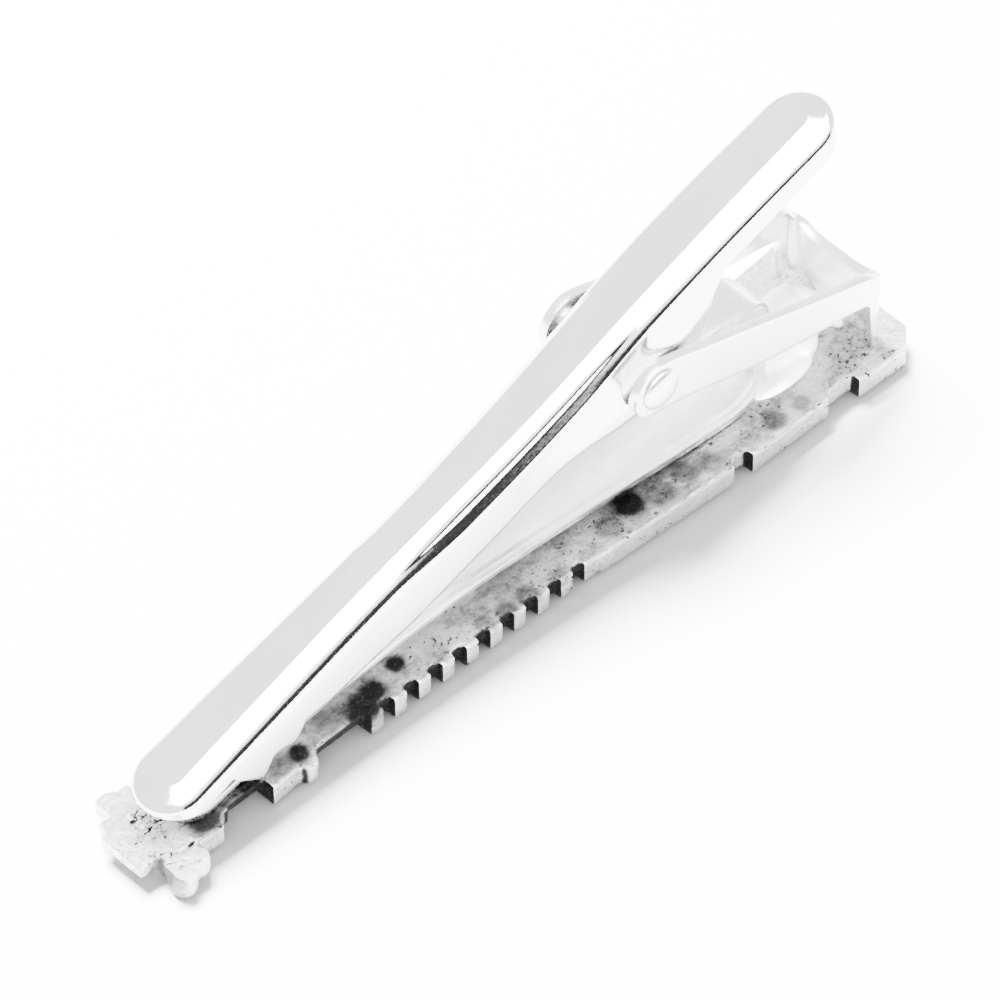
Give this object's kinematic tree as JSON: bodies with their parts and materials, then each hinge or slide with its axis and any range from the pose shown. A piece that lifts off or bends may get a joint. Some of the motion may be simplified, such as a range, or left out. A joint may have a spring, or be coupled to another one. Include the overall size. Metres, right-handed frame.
{
  "type": "tie bar with pinch clasp",
  "caption": "Slim cast tie bar with a sprung pinch clasp of folded sheet metal on its back, which holds a tie to a shirt.",
  "frame": {"origin": "middle of the bar's box, on the plane of its front face", "axes": "+X along the bar towards the clasp's hinge end, +Z from the front face out of the back"},
  "size_m": [0.0612, 0.0114, 0.0224],
  "materials": {
    "cast_metal": "tarnished cast white metal",
    "plated_sheet": "polished nickel plate",
    "spring_steel": "bright tempered strip",
    "solder": "dull soft solder"
  },
  "bodies": {
    "root": {"front_bar": "cast_metal", "base_strip": "plated_sheet", "yoke": "plated_sheet", "pivot_rivet": "plated_sheet", "leaf_spring": "spring_steel", "rear_solder": "solder"},
    "lever": {"lever": "plated_sheet"}
  },
  "joints": [
    {"name": "lever_pivot", "type": "hinge", "parent": "root", "child": "lever", "pos_m": [0.00965, 0, 0.01325], "axis": [0, 1, 0], "range_deg": [0, 20], "stiffness_Nm_per_rad": 0.15, "springref_deg": -34.38, "deforming": ["leaf_spring"]}
  ]
}
